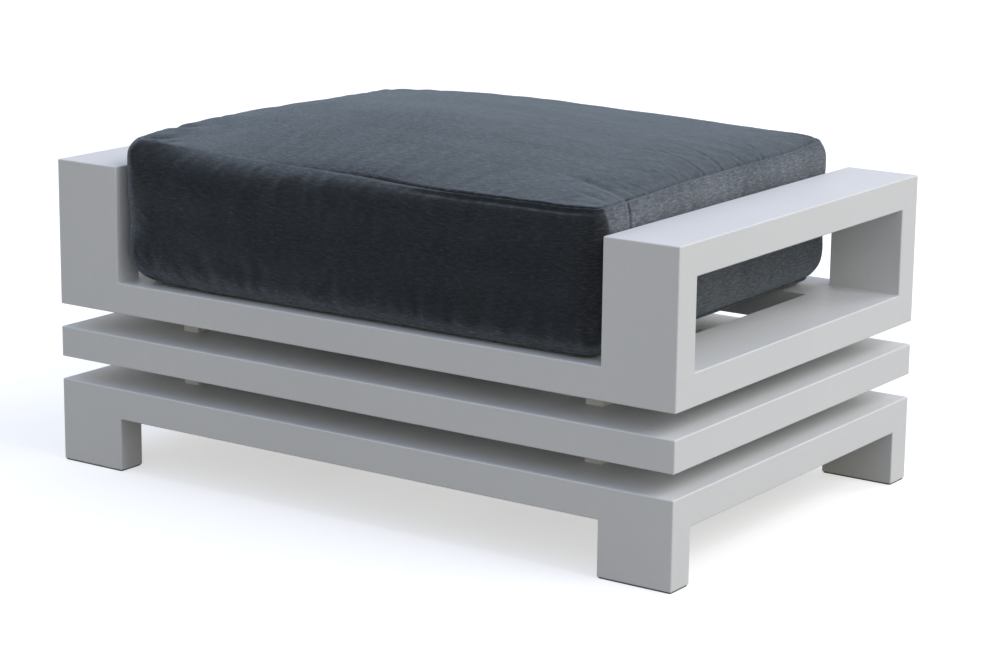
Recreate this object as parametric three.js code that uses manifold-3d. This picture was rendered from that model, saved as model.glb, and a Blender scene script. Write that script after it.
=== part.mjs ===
// Outdoor ottoman footstool: a white powder-coated aluminium frame of three stacked tiers with a loop arm at each
// end, and a loose boxed cushion between the arms. Lengths are in millimetres, +X runs along the long side, +Y to
// the back and +Z up, and the origin is on the floor under the middle of the frame.
import * as THREE from "three";
import { mergeVertices } from "three/addons/utils/BufferGeometryUtils.js";
import Module from "manifold-3d";

const wasm = await Module();
wasm.setup();

// Overall frame
const frameWidth = 930;
const frameDepth = 585;

// Box tube of the rails, posts and legs
const tubeWidth = 100;
const tubeHeight = 40;
const tubeWall = 1.5;
const tubeCornerRadius = 2.5;
const tubeCornerSteps = 3;
const weldGap = 0.3;

// Heights between the tiers
const legHeight = 70;
const tierGap = 30;
const armOpening = 110;

// Crossbars of the seat tier
const crossbarWidth = 50;
const crossbarSpacing = 182;

// Spacers between the tiers
const spacerSide = 25;
const spacerWall = 2;
const spacerFrontSetback = 75;
const spacerEndSetback = 143;

// Foot glides
const glideThickness = 1.5;
const glideInset = 1.5;
const glidePlugHeight = 18;
const glidePlugWall = 2.5;
const glidePlugGap = 0.3;
const glideJoin = 1;

// Cushion
const cushionSideGap = 2;
const cushionFrontSetback = 2;
const cushionDepth = 562;
const cushionRestGap = 0.3;
const borderHeight = 180;
const bottomSeamHeight = 9;
const bottomSeamInset = 7;
const bottomFlatInset = 30;
const topSeamInset = 16;
const seamDrawIn = 5;
const cornerLift = 5;
const crownHeight = 48;
const coverWall = 2;
const foamGap = 0.5;
const bellyShare = 0.4;
const crownPower = 2;
const crownEdgePower = 0.47;
const cornerLiftPower = 6;
const planPower = 40;
const octantSteps = 4;
const bottomRingShares = [0.45, 0.8];
const borderRingShares = [0, 0.2, 0.4, 0.7, 0.88, 1];
const crownRingShares = [0.988, 0.955, 0.89, 0.79, 0.63, 0.42, 0.2];

// Zip in the back of the cushion's border
const zipCornerInset = 83;
const zipOpeningHeight = 10;
const zipTapeGap = 0.3;
const zipChainHeight = 5;
const zipChainProud = 1.2;
const zipEndMargin = 3;
const zipStopLength = 4;
const zipStopProud = 1.8;
const zipStopHeight = 6;
const zipCutOverrun = 6;

// Zip slider
const sliderLength = 11;
const sliderHeight = 9;
const sliderRunGap = 0.3;
const sliderPlate = 1.5;
const sliderEndGap = 1;
const bailLength = 8;
const bailWidth = 2.4;
const bailLeg = 1.5;
const bailWindowHeight = 2.6;
const bailRoof = 1.2;
const bailRoot = 0.5;

// Zip pull
const pullLength = 26;
const pullWidth = 9;
const pullThickness = 1.6;
const pullEyeLength = 4.8;
const pullEyeGap = 0.5;

// Heights worked out from the sizes above
const baseBottom = legHeight;
const baseTop = baseBottom + tubeHeight;
const middleBottom = baseTop + tierGap;
const middleTop = middleBottom + tubeHeight;
const seatBottom = middleTop + tierGap;
const seatTop = seatBottom + tubeHeight;
const armBottom = seatTop + armOpening;
const armTop = armBottom + tubeHeight;

// Places worked out from the sizes above
const halfWidth = frameWidth / 2;
const halfDepth = frameDepth / 2;
const armInner = halfWidth - tubeWidth;
const railInner = halfDepth - tubeWidth;
const cushionHalfWidth = armInner - cushionSideGap;
const cushionHalfDepth = cushionDepth / 2;
const cushionY = -halfDepth + cushionFrontSetback + cushionHalfDepth;
const cushionBottom = seatTop + cushionRestGap;
const topSeamZ = cushionBottom + borderHeight;
const bottomSeamZ = cushionBottom + bottomSeamHeight;
const bellyZ = bottomSeamZ + bellyShare * (topSeamZ - bottomSeamZ);
const cushionBack = cushionY + cushionHalfDepth;
const zipLength = 2 * (cushionHalfWidth - zipCornerInset);

const powderCoat = new THREE.MeshStandardMaterial({ color: 0xe9ebed, roughness: 0.35, metalness: 0 });
const glidePlastic = new THREE.MeshStandardMaterial({ color: 0x2b2c2e, roughness: 0.6, metalness: 0 });
const fabric = new THREE.MeshStandardMaterial({ color: 0x4a4f57, roughness: 0.95, metalness: 0 });
const foam = new THREE.MeshStandardMaterial({ color: 0xe4dfd0, roughness: 1, metalness: 0 });
const zipTapeCloth = new THREE.MeshStandardMaterial({ color: 0x33363b, roughness: 0.9, metalness: 0 });
const zipMetal = new THREE.MeshStandardMaterial({ color: 0x55585c, roughness: 0.35, metalness: 1 });

const footstool = new THREE.Group();

const X = new THREE.Vector3(1, 0, 0);
const Y = new THREE.Vector3(0, 1, 0);
const Z = new THREE.Vector3(0, 0, 1);
const opposite = (axis) => axis.clone().negate();

// Adds a mesh whose local X runs along one axis and whose local -Y faces another.
function add(name, geometry, material, centre, along = X, outward = opposite(Y)) {
  const mesh = new THREE.Mesh(geometry, material);
  mesh.name = name;
  const across = opposite(outward);
  const basis = new THREE.Matrix4().makeBasis(along, across, new THREE.Vector3().crossVectors(along, across));
  mesh.quaternion.setFromRotationMatrix(basis);
  mesh.position.set(...centre);
  footstool.add(mesh);
  return mesh;
}

// A closed mesh as a solid that can be joined and cut.
function solid(geometry) {
  const bare = geometry.clone();
  bare.deleteAttribute("normal");
  bare.deleteAttribute("uv");
  const merged = mergeVertices(bare);
  return new wasm.Manifold(
    new wasm.Mesh({
      numProp: 3,
      vertProperties: new Float32Array(merged.attributes.position.array),
      triVerts: new Uint32Array(merged.index.array),
    }),
  );
}

function geometryOf(manifold) {
  const mesh = manifold.getMesh();
  const geometry = new THREE.BufferGeometry();
  geometry.setAttribute("position", new THREE.BufferAttribute(mesh.vertProperties, 3));
  geometry.setIndex(new THREE.BufferAttribute(mesh.triVerts, 1));
  const facets = geometry.toNonIndexed();
  facets.computeVertexNormals();
  return facets;
}

// A box given by its lowest and highest corners.
function block(low, high) {
  const size = high.map((value, axis) => value - low[axis]);
  const middle = high.map((value, axis) => (value + low[axis]) / 2);
  return new THREE.BoxGeometry(...size).translate(...middle);
}

// The corners of a rectangle that is centred on the origin, each rounded in a few steps.
function roundedRectangle(width, height, radius) {
  const points = [];
  for (let corner = 0; corner < 4; corner++) {
    const right = corner === 0 || corner === 3 ? 1 : -1;
    const up = corner < 2 ? 1 : -1;
    for (let step = 0; step <= tubeCornerSteps; step++) {
      const angle = ((corner + step / tubeCornerSteps) * Math.PI) / 2;
      const x = right * (width / 2 - radius) + radius * Math.cos(angle);
      const y = up * (height / 2 - radius) + radius * Math.sin(angle);
      points.push(new THREE.Vector2(x, y));
    }
  }
  return points;
}

function rectangle(width, height) {
  const x = width / 2;
  const y = height / 2;
  return [
    [-x, -y],
    [x, -y],
    [x, y],
    [-x, y],
  ].map((point) => new THREE.Vector2(...point));
}

// A straight solid of an outline along +Z, with an optional hole.
function extrude(outline, depth, hole) {
  const shape = new THREE.Shape(outline);
  if (hole) shape.holes.push(new THREE.Path(hole));
  return new THREE.ExtrudeGeometry(shape, { depth, bevelEnabled: false, steps: 1 });
}

// Box tube along local X, with its long face at local -Y. An end that is mitred leans in by 45 degrees.
function boxTube({ length, across, thick, wall = tubeWall, startMitre = false, endMitre = false }) {
  const outline = roundedRectangle(across, thick, tubeCornerRadius);
  const geometry = extrude(outline, length, rectangle(across - 2 * wall, thick - 2 * wall));
  const points = geometry.attributes.position;
  for (let i = 0; i < points.count; i++) {
    const y = points.getX(i);
    const z = points.getY(i);
    const atEnd = points.getZ(i) > length / 2;
    const mitred = atEnd ? endMitre : startMitre;
    const lean = mitred ? y + across / 2 + weldGap / Math.SQRT2 : 0;
    points.setXYZ(i, (atEnd ? 1 : -1) * (length / 2 - lean), y, z);
  }
  geometry.computeVertexNormals();
  return geometry;
}

// The four flat rails of one tier, mitred at its corners.
function addTier(name, bottom) {
  const z = bottom + tubeHeight / 2;
  const flatRail = (length) =>
    boxTube({ length, across: tubeWidth, thick: tubeHeight, startMitre: true, endMitre: true });
  const sides = [
    ["front", frameWidth, [0, -halfDepth + tubeWidth / 2, z], X, opposite(Y)],
    ["back", frameWidth, [0, halfDepth - tubeWidth / 2, z], opposite(X), Y],
    ["left", frameDepth, [-halfWidth + tubeWidth / 2, 0, z], opposite(Y), opposite(X)],
    ["right", frameDepth, [halfWidth - tubeWidth / 2, 0, z], Y, X],
  ];
  for (const [side, length, centre, along, outward] of sides) {
    add(name + "_rail_" + side, flatRail(length), powderCoat, centre, along, outward);
  }
}

const ends = [
  ["left", -1],
  ["right", 1],
];
const faces = [
  ["front", -1],
  ["back", 1],
];

// Legs under the base tier's corners, each closed by a glide.
function addLegs() {
  const top = baseBottom - weldGap;
  const length = top - glideThickness;
  const plateTop = glideThickness - glidePlugGap;
  const plateWidth = tubeWidth - 2 * glideInset;
  const plateDepth = tubeHeight - 2 * glideInset;
  const plate = extrude(roundedRectangle(plateWidth, plateDepth, tubeCornerRadius), plateTop);
  const plugWidth = tubeWidth - 2 * (tubeWall + glidePlugGap);
  const plugDepth = tubeHeight - 2 * (tubeWall + glidePlugGap);
  const plugBore = rectangle(plugWidth - 2 * glidePlugWall, plugDepth - 2 * glidePlugWall);
  const plug = extrude(rectangle(plugWidth, plugDepth), glidePlugHeight + glideJoin, plugBore);
  plug.translate(0, 0, plateTop - glideJoin);
  const glide = geometryOf(solid(plate).add(solid(plug)));
  for (const [face, back] of faces) {
    for (const [end, right] of ends) {
      const x = right * (halfWidth - tubeWidth / 2);
      const y = back * (halfDepth - tubeHeight / 2);
      const leg = boxTube({ length, across: tubeHeight, thick: tubeWidth });
      const outward = back < 0 ? opposite(Y) : Y;
      add(`leg_${face}_${end}`, leg, powderCoat, [x, y, glideThickness + length / 2], Z, outward);
      add(`foot_glide_${face}_${end}`, glide, glidePlastic, [x, y, 0]);
    }
  }
}

// Short upright tubes that hold two tiers apart.
function addSpacers(name, bottom) {
  const length = tierGap - 2 * weldGap;
  const x = halfWidth - spacerEndSetback - spacerSide / 2;
  const y = halfDepth - spacerFrontSetback - spacerSide / 2;
  for (const [face, back] of faces) {
    for (const [end, right] of ends) {
      const tube = boxTube({ length, across: spacerSide, thick: spacerSide, wall: spacerWall });
      add(`${name}_spacer_${face}_${end}`, tube, powderCoat, [right * x, back * y, bottom + tierGap / 2], Z);
    }
  }
}

// A loop arm at each end: two posts on the seat tier's corners and a top rail mitred to them.
function addArms() {
  const postBottom = seatTop + weldGap;
  const postLength = armTop - postBottom;
  for (const [end, right] of ends) {
    const x = right * (halfWidth - tubeWidth / 2);
    const top = boxTube({
      length: frameDepth,
      across: tubeHeight,
      thick: tubeWidth,
      startMitre: true,
      endMitre: true,
    });
    add(`arm_top_${end}`, top, powderCoat, [x, 0, armTop - tubeHeight / 2], Y, Z);
    for (const [face, back] of faces) {
      const post = boxTube({ length: postLength, across: tubeHeight, thick: tubeWidth, endMitre: true });
      const y = back * (halfDepth - tubeHeight / 2);
      const outward = back < 0 ? opposite(Y) : Y;
      add(`arm_post_${face}_${end}`, post, powderCoat, [x, y, postBottom + postLength / 2], Z, outward);
    }
  }
}

// The bars under the cushion, from the seat tier's front rail to its back rail.
function addCrossbars() {
  const places = { left: -crossbarSpacing, middle: 0, right: crossbarSpacing };
  for (const [name, x] of Object.entries(places)) {
    const bar = boxTube({
      length: 2 * (railInner - weldGap),
      across: crossbarWidth,
      thick: tubeHeight,
    });
    add(`seat_crossbar_${name}`, bar, powderCoat, [x, 0, seatTop - tubeHeight / 2], Y, X);
  }
}

// Points round a plan with flat sides and round corners, as shares of its half width and half depth.
function planPoints() {
  const corner = Math.pow(2, -1 / planPower);
  const octant = [];
  for (let k = 0; k <= octantSteps; k++) {
    const along = corner * (1 - Math.pow(1 - k / octantSteps, 2));
    octant.push([Math.pow(1 - Math.pow(along, planPower), 1 / planPower), along]);
  }
  const quarter = [...octant, ...octant.slice(1, -1).reverse().map(([x, y]) => [y, x])];
  const points = [];
  for (let turn = 0; turn < 4; turn++) {
    for (const [x, y] of quarter) {
      const turns = [
        [x, y],
        [-y, x],
        [-x, -y],
        [y, -x],
      ];
      points.push(turns[turn]);
    }
  }
  return points;
}

// How far a share of the border's height lies above its widest line, as a share of what is above that line.
const aboveBelly = (share) => Math.max(0, (share - bellyShare) / (1 - bellyShare));

// How far a ring of the border stands inside the widest line, everywhere, and more between the corners.
function borderInsets(share) {
  const below = Math.max(0, 1 - share / bellyShare);
  const above = aboveBelly(share);
  return [bottomSeamInset * below * below + topSeamInset * above * above, seamDrawIn * above * above];
}

// The cushion's form, drawn in by an inset on every side. The sides swell between two seams, the seams are drawn in
// and the corners lifted, and the top rises in a flat-topped crown.
function cushionForm(inset) {
  const plan = planPoints();
  const halfX = cushionHalfWidth - inset;
  const halfY = cushionHalfDepth - inset;
  const bottom = cushionBottom + inset;
  const seamX = halfX - topSeamInset;
  const seamY = halfY - topSeamInset;
  const rings = [];
  const flatX = halfX - bottomFlatInset;
  const flatY = halfY - bottomFlatInset;
  for (const share of [...bottomRingShares, 1]) {
    rings.push(plan.map(([x, y]) => [x * flatX * share, y * flatY * share, bottom]));
  }
  for (const share of borderRingShares) {
    const z = bottomSeamZ + share * (topSeamZ - bottomSeamZ) + inset * (1 - 2 * share);
    const [side, drawn] = borderInsets(share);
    rings.push(
      plan.map(([x, y]) => {
        const corner = Math.pow(Math.abs(x * y), cornerLiftPower);
        const pulled = side + drawn * (1 - corner);
        return [x * (halfX - pulled), y * (halfY - pulled), z + cornerLift * corner * share];
      }),
    );
  }
  const seam = rings[rings.length - 1];
  const rise = (share) => Math.pow(Math.max(0, 1 - Math.pow(Math.abs(share), crownPower)), crownEdgePower);
  for (const share of crownRingShares) {
    rings.push(
      seam.map(([x, y, z]) => {
        const crown = crownHeight * rise((x * share) / seamX) * rise((y * share) / seamY);
        const lift = (z - (topSeamZ - inset)) * Math.pow(share, 2 * cornerLiftPower);
        return [x * share, y * share, topSeamZ - inset + lift + crown];
      }),
    );
  }
  const points = [[0, 0, bottom], ...rings.flat(), [0, 0, topSeamZ - inset + crownHeight]];
  const count = plan.length;
  const ringPoint = (ring, i) => 1 + ring * count + (i % count);
  const last = points.length - 1;
  const index = [];
  for (let i = 0; i < count; i++) {
    index.push(0, ringPoint(0, i + 1), ringPoint(0, i));
    for (let ring = 0; ring < rings.length - 1; ring++) {
      const a = ringPoint(ring, i);
      const b = ringPoint(ring, i + 1);
      const c = ringPoint(ring + 1, i + 1);
      const d = ringPoint(ring + 1, i);
      index.push(a, b, c, a, c, d);
    }
    index.push(last, ringPoint(rings.length - 1, i), ringPoint(rings.length - 1, i + 1));
  }
  const geometry = new THREE.BufferGeometry();
  geometry.setAttribute("position", new THREE.Float32BufferAttribute(points.flat(), 3));
  geometry.setIndex(index);
  return geometry.translate(0, cushionY, 0);
}

// The cover with its zip opening, and the foam inside.
function addCushion() {
  const halfOpening = zipOpeningHeight / 2;
  const opening = block(
    [-zipLength / 2, cushionBack - coverWall - zipCutOverrun, bellyZ - halfOpening],
    [zipLength / 2, cushionBack + zipCutOverrun, bellyZ + halfOpening],
  );
  const shell = solid(cushionForm(0)).subtract(solid(cushionForm(coverWall)));
  add("cushion_cover", geometryOf(shell.subtract(solid(opening))), fabric, [0, 0, 0]);
  const core = cushionForm(coverWall + foamGap).toNonIndexed();
  core.computeVertexNormals();
  add("cushion_foam_core", core, foam, [0, 0, 0]);
}

// Zip parts stand in a frame of their own: x along the zip, y out of the cushion's back and z up.
const zipHalfTape = zipLength / 2 - zipTapeGap;
const chainY = zipChainProud;
const sliderTopY = chainY + sliderRunGap + sliderPlate;
const bailAxisY = sliderTopY + bailWindowHeight / 2;
const zipStopEnd = zipHalfTape - zipEndMargin;
const zipStopInner = zipStopEnd - zipStopLength;
const sliderRestX = -(zipStopInner - sliderEndGap - sliderLength / 2);

function addZip() {
  const halfTapeHeight = zipOpeningHeight / 2 - zipTapeGap;
  const halfChain = zipChainHeight / 2;
  const halfStop = zipStopHeight / 2;
  const chainEnd = (zipStopEnd + zipStopInner) / 2;
  const plain = block([-zipHalfTape, -coverWall, -halfTapeHeight], [zipHalfTape, 0, halfTapeHeight]);
  const chain = block([-chainEnd, -coverWall / 2, -halfChain], [chainEnd, zipChainProud, halfChain]);
  const leftStop = block([-zipStopEnd, -coverWall / 3, -halfStop], [-zipStopInner, zipStopProud, halfStop]);
  const rightStop = block([zipStopInner, -coverWall / 3, -halfStop], [zipStopEnd, zipStopProud, halfStop]);
  const tape = solid(plain).add(solid(chain)).add(solid(leftStop)).add(solid(rightStop));
  const origin = [0, cushionBack, bellyZ];
  add("zip_tape", geometryOf(tape), zipTapeCloth, origin);

  const bodyX = sliderLength / 2;
  const bodyZ = sliderHeight / 2;
  const channelZ = halfChain + sliderRunGap;
  const windowX = bailLength / 2 - bailLeg;
  const body = solid(block([-bodyX, sliderRunGap, -bodyZ], [bodyX, sliderTopY, bodyZ]));
  const channel = block(
    [-bodyX - zipCutOverrun, -zipCutOverrun, -channelZ],
    [bodyX + zipCutOverrun, chainY + sliderRunGap, channelZ],
  );
  const bail = block(
    [-bailLength / 2, sliderTopY - bailRoot, -bailWidth / 2],
    [bailLength / 2, sliderTopY + bailWindowHeight + bailRoof, bailWidth / 2],
  );
  const window = block([-windowX, sliderTopY, -zipCutOverrun], [windowX, sliderTopY + bailWindowHeight, zipCutOverrun]);
  const slider = body.subtract(solid(channel)).add(solid(bail)).subtract(solid(window));
  const place = [sliderRestX, cushionBack, bellyZ];
  add("zip_slider", geometryOf(slider), zipMetal, place);

  const halfThick = pullThickness / 2;
  const plate = block(
    [-halfThick, bailAxisY - halfThick, -pullWidth / 2],
    [pullLength, bailAxisY + halfThick, pullWidth / 2],
  );
  const eyeZ = bailWidth / 2 + pullEyeGap;
  const eye = block(
    [halfThick, bailAxisY - zipCutOverrun, -eyeZ],
    [halfThick + pullEyeLength, bailAxisY + zipCutOverrun, eyeZ],
  );
  add("zip_pull", geometryOf(solid(plate).subtract(solid(eye))), zipMetal, place);
}

addTier("base", baseBottom);
addTier("middle", middleBottom);
addTier("seat", seatBottom);
addCrossbars();
addSpacers("lower", baseTop);
addSpacers("upper", middleTop);
addLegs();
addArms();
addCushion();
addZip();

export default footstool;
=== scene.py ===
import math

import bpy
import numpy as np
from mathutils import Matrix, Vector, noise
from mathutils.bvhtree import BVHTree


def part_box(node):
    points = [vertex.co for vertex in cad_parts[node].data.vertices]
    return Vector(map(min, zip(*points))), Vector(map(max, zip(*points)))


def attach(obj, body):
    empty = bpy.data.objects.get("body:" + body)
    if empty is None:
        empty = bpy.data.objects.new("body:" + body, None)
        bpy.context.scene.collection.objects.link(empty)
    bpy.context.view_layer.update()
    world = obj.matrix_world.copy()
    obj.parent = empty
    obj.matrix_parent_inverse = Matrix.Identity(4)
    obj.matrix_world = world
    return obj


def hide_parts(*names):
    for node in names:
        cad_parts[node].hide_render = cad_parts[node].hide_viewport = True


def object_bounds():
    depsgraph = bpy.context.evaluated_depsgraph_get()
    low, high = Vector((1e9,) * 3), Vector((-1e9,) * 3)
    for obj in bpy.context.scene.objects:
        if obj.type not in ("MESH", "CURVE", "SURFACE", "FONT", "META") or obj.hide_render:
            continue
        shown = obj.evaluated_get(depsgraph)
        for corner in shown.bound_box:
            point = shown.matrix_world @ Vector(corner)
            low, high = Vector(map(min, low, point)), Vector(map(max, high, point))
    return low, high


# An outdoor ottoman footstool: three tiers of powder-coated box tube, an arm loop at each end, and a loose
# boxed cushion in a woven melange cover. Lengths are in metres, +X runs along the long side and +Y to the back.

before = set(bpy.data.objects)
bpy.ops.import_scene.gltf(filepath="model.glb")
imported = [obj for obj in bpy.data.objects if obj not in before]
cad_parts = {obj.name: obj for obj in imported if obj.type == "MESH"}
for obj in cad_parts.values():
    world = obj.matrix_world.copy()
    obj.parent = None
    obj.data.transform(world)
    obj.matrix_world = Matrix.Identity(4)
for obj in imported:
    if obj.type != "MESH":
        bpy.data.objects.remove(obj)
cad_low, cad_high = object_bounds()

MM = 0.001


# Materials

def feed(tree, socket, value):
    """Give a socket its value, or join it to the socket that gives it."""
    if isinstance(value, bpy.types.NodeSocket):
        tree.links.new(value, socket)
    else:
        socket.default_value = value


def node(tree, kind, inputs=None, **settings):
    """One shader node, with its settings, and its inputs as values or as sockets to join."""
    made = tree.nodes.new(kind)
    for name, value in settings.items():
        setattr(made, name, value)
    for name, value in (inputs or {}).items():
        feed(tree, made.inputs[name], value)
    return made


def maths(tree, operation, first, second=0.0):
    made = tree.nodes.new("ShaderNodeMath")
    made.operation = operation
    for socket, value in zip(made.inputs, (first, second)):
        feed(tree, socket, value)
    return made.outputs[0]


def remap(tree, value, low, high, to_low=0.0, to_high=1.0, smooth=False):
    made = node(
        tree, "ShaderNodeMapRange",
        {"Value": value, "From Min": low, "From Max": high, "To Min": to_low, "To Max": to_high},
        interpolation_type="SMOOTHSTEP" if smooth else "LINEAR",
    )
    return made.outputs["Result"]


def scaled(tree, vector, scale, offset=(0.0, 0.0, 0.0)):
    made = node(tree, "ShaderNodeMapping", {"Vector": vector, "Scale": scale, "Location": offset})
    return made.outputs["Vector"]


def grain(tree, vector, scale=1.0, detail=2.0, roughness=0.5):
    made = node(
        tree, "ShaderNodeTexNoise",
        {"Vector": vector, "Scale": scale, "Detail": detail, "Roughness": roughness},
    )
    return made.outputs["Fac"]


def mixed(tree, share, first, second):
    made = tree.nodes.new("ShaderNodeMix")
    made.data_type = "RGBA"
    colours = [s for s in made.inputs if s.type == "RGBA"]
    for socket, value in zip([made.inputs[0], *colours], (share, first, second)):
        feed(tree, socket, value)
    return next(s for s in made.outputs if s.type == "RGBA")


def bumped(tree, height, distance, strength=1.0, under=None):
    inputs = {"Height": height, "Distance": distance, "Strength": strength}
    if under is not None:
        inputs["Normal"] = under
    return node(tree, "ShaderNodeBump", inputs).outputs["Normal"]


def rgb(red, green, blue):
    return (red, green, blue, 1.0)


def grey(level):
    return rgb(level, level, level)


def new_material(name, **sockets):
    """A Principled material. Each keyword sets a socket, with underscores for the spaces in its name."""
    made = bpy.data.materials.new(name)
    made.use_nodes = True
    tree = made.node_tree
    shader = next(n for n in tree.nodes if n.type == "BSDF_PRINCIPLED")
    for key, value in sockets.items():
        shader.inputs[key.replace("_", " ")].default_value = value
    return made, tree, shader


def object_place(tree):
    return tree.nodes.new("ShaderNodeTexCoord").outputs["Object"]


def powder_coat():
    made, tree, shader = new_material("powder_coat_white", Roughness=0.5, Specular_IOR_Level=0.3)
    place = object_place(tree)
    clouds = grain(tree, place, 5.0, 3.0)
    mottle = grain(tree, place, 90.0, 3.0, 0.6)
    tone = mixed(tree, remap(tree, clouds, 0.35, 0.65), rgb(0.745, 0.752, 0.762), rgb(0.77, 0.776, 0.784))
    speck = remap(tree, mottle, 0.42, 0.7, 0.0, 0.35)
    tree.links.new(mixed(tree, speck, tone, rgb(0.735, 0.742, 0.75)), shader.inputs["Base Color"])
    peel = grain(tree, place, 620.0, 2.0, 0.45)
    tree.links.new(remap(tree, peel, 0.3, 0.7, 0.46, 0.56), shader.inputs["Roughness"])
    wavy = bumped(tree, grain(tree, place, 24.0, 2.0, 0.5), 0.00035)
    tree.links.new(bumped(tree, peel, 0.00006, 1.0, wavy), shader.inputs["Normal"])
    return made


def moulded_plastic():
    made, tree, shader = new_material("glide_plastic_dark", Roughness=0.6)
    place = object_place(tree)
    pores = grain(tree, place, 1400.0, 3.0, 0.6)
    scuffs = grain(tree, scaled(tree, place, (60.0, 60.0, 900.0)), 1.0, 2.0)
    tone = mixed(tree, remap(tree, scuffs, 0.5, 0.75), rgb(0.022, 0.023, 0.025), rgb(0.05, 0.05, 0.052))
    tree.links.new(tone, shader.inputs["Base Color"])
    tree.links.new(remap(tree, pores, 0.3, 0.7, 0.5, 0.72), shader.inputs["Roughness"])
    tree.links.new(bumped(tree, pores, 0.00008), shader.inputs["Normal"])
    return made


# Painted sheen: how much lighter the cloth's base colour is made at a slant than head on; and painted light:
# how much lighter the strips on the short sides are made
PAINTED_SHEEN_LIFT = 3.5
PAINTED_SIDE_LIGHT = 1.5
# How often each kind of fibre changes in a metre, along and across the picks
PICK_SLUB, FINE_SLUB, WARP_SLUB = (110.0, 700.0, 0.0), (260.0, 1100.0, 0.0), (900.0, 150.0, 0.0)
DASHES, BANDS, CLOUDS = (70.0, 380.0, 0.0), (2.5, 38.0, 0.0), (9.0, 9.0, 0.0)


def woven(name, dark, light, thread, **sockets):
    """A plain weave of melange yarn, with painted sheen and painted light in its base colour. The weave
    attribute holds each panel's own flat coordinates in metres, so that the picks run along the panel and break
    at its seams. Its third number is 1 on the short sides, where light is painted in."""
    made, tree, shader = new_material(name, **sockets)
    flat = node(tree, "ShaderNodeAttribute", attribute_name="weave").outputs["Vector"]
    split = node(tree, "ShaderNodeSeparateXYZ", {"Vector": flat})
    wander = grain(tree, scaled(tree, flat, (30.0, 30.0, 1.0)), 1.0, 2.0)
    shifted = remap(tree, wander, 0.0, 1.0, -0.6 * thread, 0.6 * thread)
    along, across = (maths(tree, "ADD", split.outputs[axis], shifted) for axis in ("X", "Y"))
    warp_phase = maths(tree, "DIVIDE", along, thread)
    pick_phase = maths(tree, "DIVIDE", across, thread)
    warp_round = maths(tree, "ABSOLUTE", maths(tree, "SINE", maths(tree, "MULTIPLY", warp_phase, math.pi)))
    pick_round = maths(tree, "ABSOLUTE", maths(tree, "SINE", maths(tree, "MULTIPLY", pick_phase, math.pi)))
    squares = maths(tree, "ADD", maths(tree, "FLOOR", warp_phase), maths(tree, "FLOOR", pick_phase))
    over = maths(tree, "FLOORED_MODULO", squares, 2.0)
    under = maths(tree, "SUBTRACT", 1.0, over)
    yarn = maths(
        tree, "ADD",
        maths(tree, "MULTIPLY", pick_round, over),
        maths(tree, "MULTIPLY", warp_round, under),
    )
    # Melange: light and dark fibres drawn out along the picks, a few along the warp, and long soft bands
    pick_slub = grain(tree, scaled(tree, flat, PICK_SLUB), 1.0, 2.0, 0.55)
    fine_slub = grain(tree, scaled(tree, flat, FINE_SLUB, (3.1, 7.7, 0.0)), 1.0, 2.0, 0.6)
    warp_slub = grain(tree, scaled(tree, flat, WARP_SLUB, (9.3, 1.9, 0.0)), 1.0, 2.0, 0.55)
    bands = grain(tree, scaled(tree, flat, BANDS, (5.5, 2.2, 0.0)), 1.0, 3.0, 0.6)
    clouds = grain(tree, scaled(tree, flat, CLOUDS, (1.7, 8.8, 0.0)), 1.0, 3.0, 0.55)
    dashes = grain(tree, scaled(tree, flat, DASHES, (4.4, 6.1, 0.0)), 1.0, 2.0, 0.6)
    lightness = remap(tree, pick_slub, 0.50, 0.76)
    for more in (
        remap(tree, fine_slub, 0.5, 0.85, 0.0, 0.8),
        remap(tree, warp_slub, 0.58, 0.85, 0.0, 0.6),
        remap(tree, dashes, 0.46, 0.74, 0.0, 0.6),
        remap(tree, maths(tree, "ADD", bands, clouds), 0.75, 1.25, -0.16, 0.20),
        remap(tree, yarn, 0.0, 1.0, -0.06, 0.14),
    ):
        lightness = maths(tree, "ADD", lightness, more)
    rough = bumped(tree, pick_slub, 0.00016, 0.6, bumped(tree, dashes, 0.00026, 0.6))
    woven_normal = bumped(tree, yarn, 0.00022, 0.7, rough)
    # Painted sheen: the base colour is made lighter where the cloth is seen at a slant, as raised fibres look
    # when they catch the light
    slant = node(tree, "ShaderNodeLayerWeight", {"Blend": 0.5, "Normal": rough}).outputs["Facing"]
    lift = remap(tree, slant, 0.22, 0.46, 1 / PAINTED_SHEEN_LIFT, 1.0, smooth=True)
    # Painted light: the strips on both short sides are made lighter, standing in for the strong light on the
    # right side
    lift = maths(tree, "MULTIPLY", lift, remap(tree, split.outputs["Z"], 0.0, 1.0, 1.0, PAINTED_SIDE_LIGHT))
    spread = maths(tree, "MULTIPLY", remap(tree, lightness, 0.0, 1.5, 0.17, 0.68), lift)
    tone = mixed(tree, spread, rgb(*dark), rgb(*light))
    tree.links.new(tone, shader.inputs["Base Color"])
    tree.links.new(woven_normal, shader.inputs["Normal"])
    return made


def brushed_metal():
    made, tree, shader = new_material("zip_metal_dark", Metallic=1.0, Roughness=0.35)
    place = object_place(tree)
    brush = grain(tree, scaled(tree, place, (300.0, 4000.0, 4000.0)), 1.0, 2.0)
    tone = mixed(tree, remap(tree, brush, 0.3, 0.7), rgb(0.18, 0.18, 0.19), rgb(0.30, 0.30, 0.31))
    tree.links.new(tone, shader.inputs["Base Color"])
    tree.links.new(remap(tree, brush, 0.3, 0.7, 0.28, 0.45), shader.inputs["Roughness"])
    tree.links.new(bumped(tree, brush, 0.00003), shader.inputs["Normal"])
    return made


def zip_nylon(name, low, high):
    made, tree, shader = new_material(name, Roughness=0.55)
    place = object_place(tree)
    ribs = grain(tree, scaled(tree, place, (900.0, 900.0, 1800.0)), 1.0, 3.0)
    tree.links.new(mixed(tree, ribs, rgb(*low), rgb(*high)), shader.inputs["Base Color"])
    tree.links.new(bumped(tree, ribs, 0.0001), shader.inputs["Normal"])
    return made


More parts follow.
